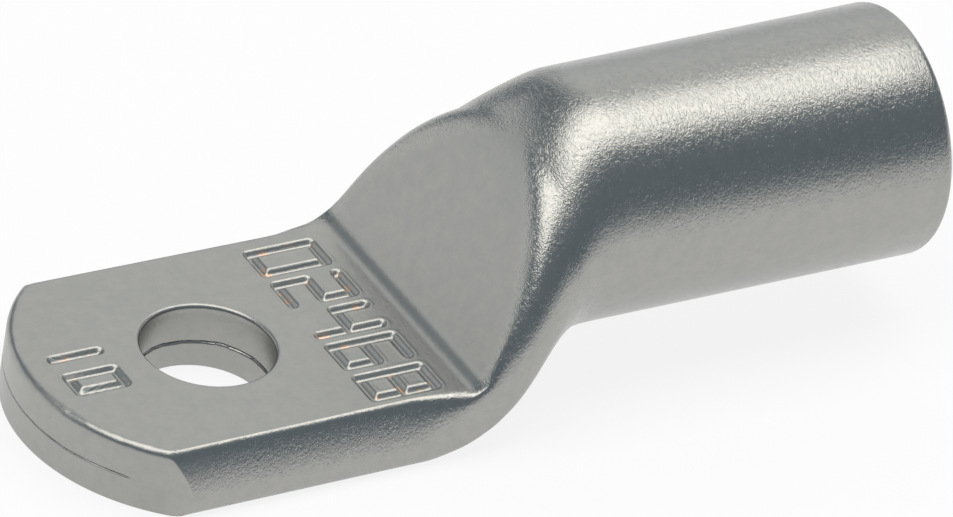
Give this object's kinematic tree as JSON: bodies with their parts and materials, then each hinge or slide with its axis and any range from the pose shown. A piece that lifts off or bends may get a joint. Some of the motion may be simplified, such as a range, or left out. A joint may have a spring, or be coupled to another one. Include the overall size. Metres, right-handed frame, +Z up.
{
  "type": "tubular cable lug",
  "caption": "Tubular cable lug: a round crimp barrel for a stranded conductor that runs through a pressed neck into a flat palm with a stud hole and a round tip.",
  "frame": {"origin": "the stud hole's axis at the palm's underside", "axes": "+X from the stud hole along the lug to the mouth of the barrel, +Y across the palm, +Z up out of the palm's upper face"},
  "size_m": [0.0378, 0.0134, 0.0115],
  "materials": {
    "tin_plated_copper": "satin electrolytic tin on copper tube, smoother where the press dies touched it"
  },
  "bodies": {
    "root": {"lug": "tin_plated_copper"}
  },
  "joints": []
}
